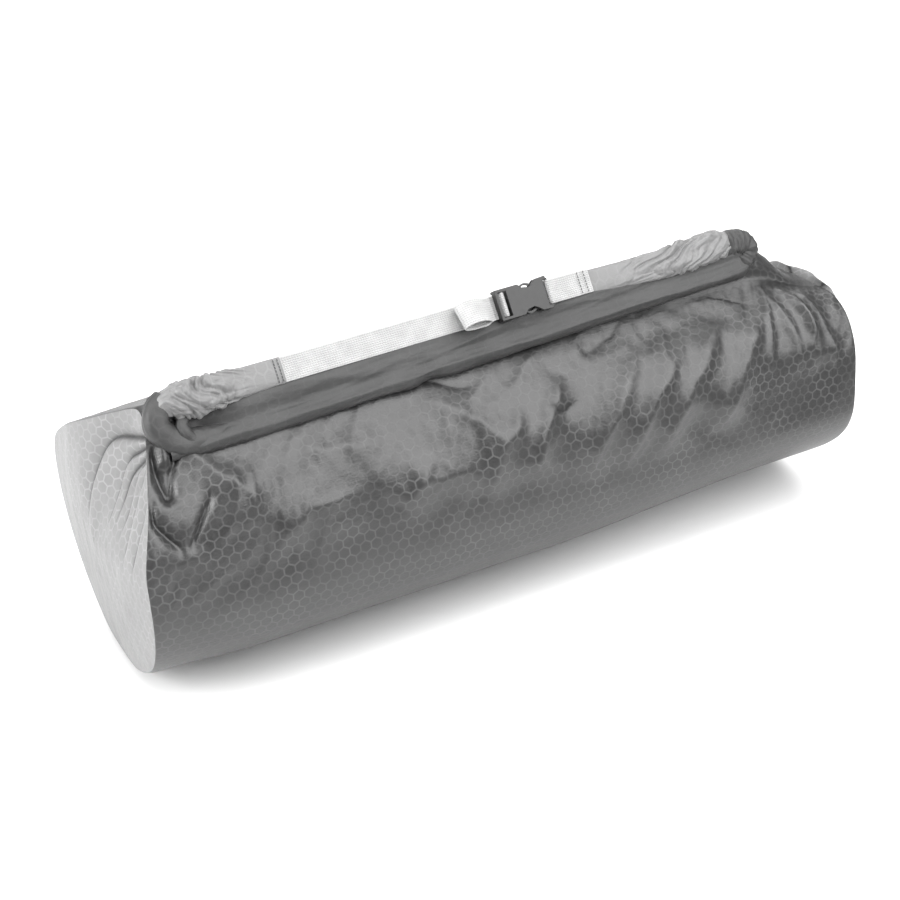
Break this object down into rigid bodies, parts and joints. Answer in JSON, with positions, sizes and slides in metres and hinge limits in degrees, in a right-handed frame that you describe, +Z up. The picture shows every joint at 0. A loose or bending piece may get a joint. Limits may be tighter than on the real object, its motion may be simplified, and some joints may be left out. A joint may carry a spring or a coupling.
{
  "type": "stuff sack",
  "caption": "Filled cylindrical roll-top stuff sack lying on its side, its rolled mouth turned back at both ends and held by webbing straps with a side-release buckle.",
  "frame": {"origin": "under the middle of the sack, on the surface that it lies on", "axes": "+X along the sack's length, +Y to the back, away from the rolled mouth, +Z up"},
  "size_m": [0.67, 0.246, 0.2714],
  "materials": {
    "dark_ripstop": "matte",
    "pale_ripstop": "matte",
    "webbing": "matte",
    "seam_binding": "matte",
    "packed_bedding": "matte",
    "stiffener": "matte",
    "buckle_plastic": "satin",
    "pale_thread": "matte",
    "dark_thread": "matte"
  },
  "bodies": {
    "root": {"body_wrap": "dark_ripstop", "end_panel_left": "pale_ripstop", "end_panel_right": "pale_ripstop", "end_seam_left": "seam_binding", "end_seam_right": "seam_binding", "packed_load": "packed_bedding", "mouth_roll": "dark_ripstop", "mouth_stiffener": "stiffener", "roll_end_left": "dark_ripstop", "roll_end_right": "dark_ripstop", "gusset_leg_left": "pale_ripstop", "gusset_leg_right": "pale_ripstop", "strap_long": "webbing", "strap_short": "webbing", "hem_stitches_left": "dark_thread", "strap_stitches_right": "dark_thread", "buckle_insert": "buckle_plastic"},
    "socket": {"buckle_socket": "buckle_plastic", "strap_tail": "webbing", "tail_stitches": "pale_thread"},
    "front_prong": {"prong_front": "buckle_plastic"},
    "rear_prong": {"prong_rear": "buckle_plastic"}
  },
  "joints": [
    {"name": "buckle_release", "type": "slide", "parent": "root", "child": "socket", "axis": [-0.9997, -0.0143, -0.0198], "range_m": [0, 0.03]},
    {"name": "front_prong_squeeze", "type": "hinge", "parent": "root", "child": "front_prong", "pos_m": [0.04168, -0.04926, 0.25172], "axis": [0, 0.8111, -0.585], "range_deg": [0, 8], "stiffness_Nm_per_rad": 0.2},
    {"name": "rear_prong_squeeze", "type": "hinge", "parent": "root", "child": "rear_prong", "pos_m": [0.0413, -0.04014, 0.26437], "axis": [0, -0.8111, 0.585], "range_deg": [0, 8], "stiffness_Nm_per_rad": 0.2}
  ]
}
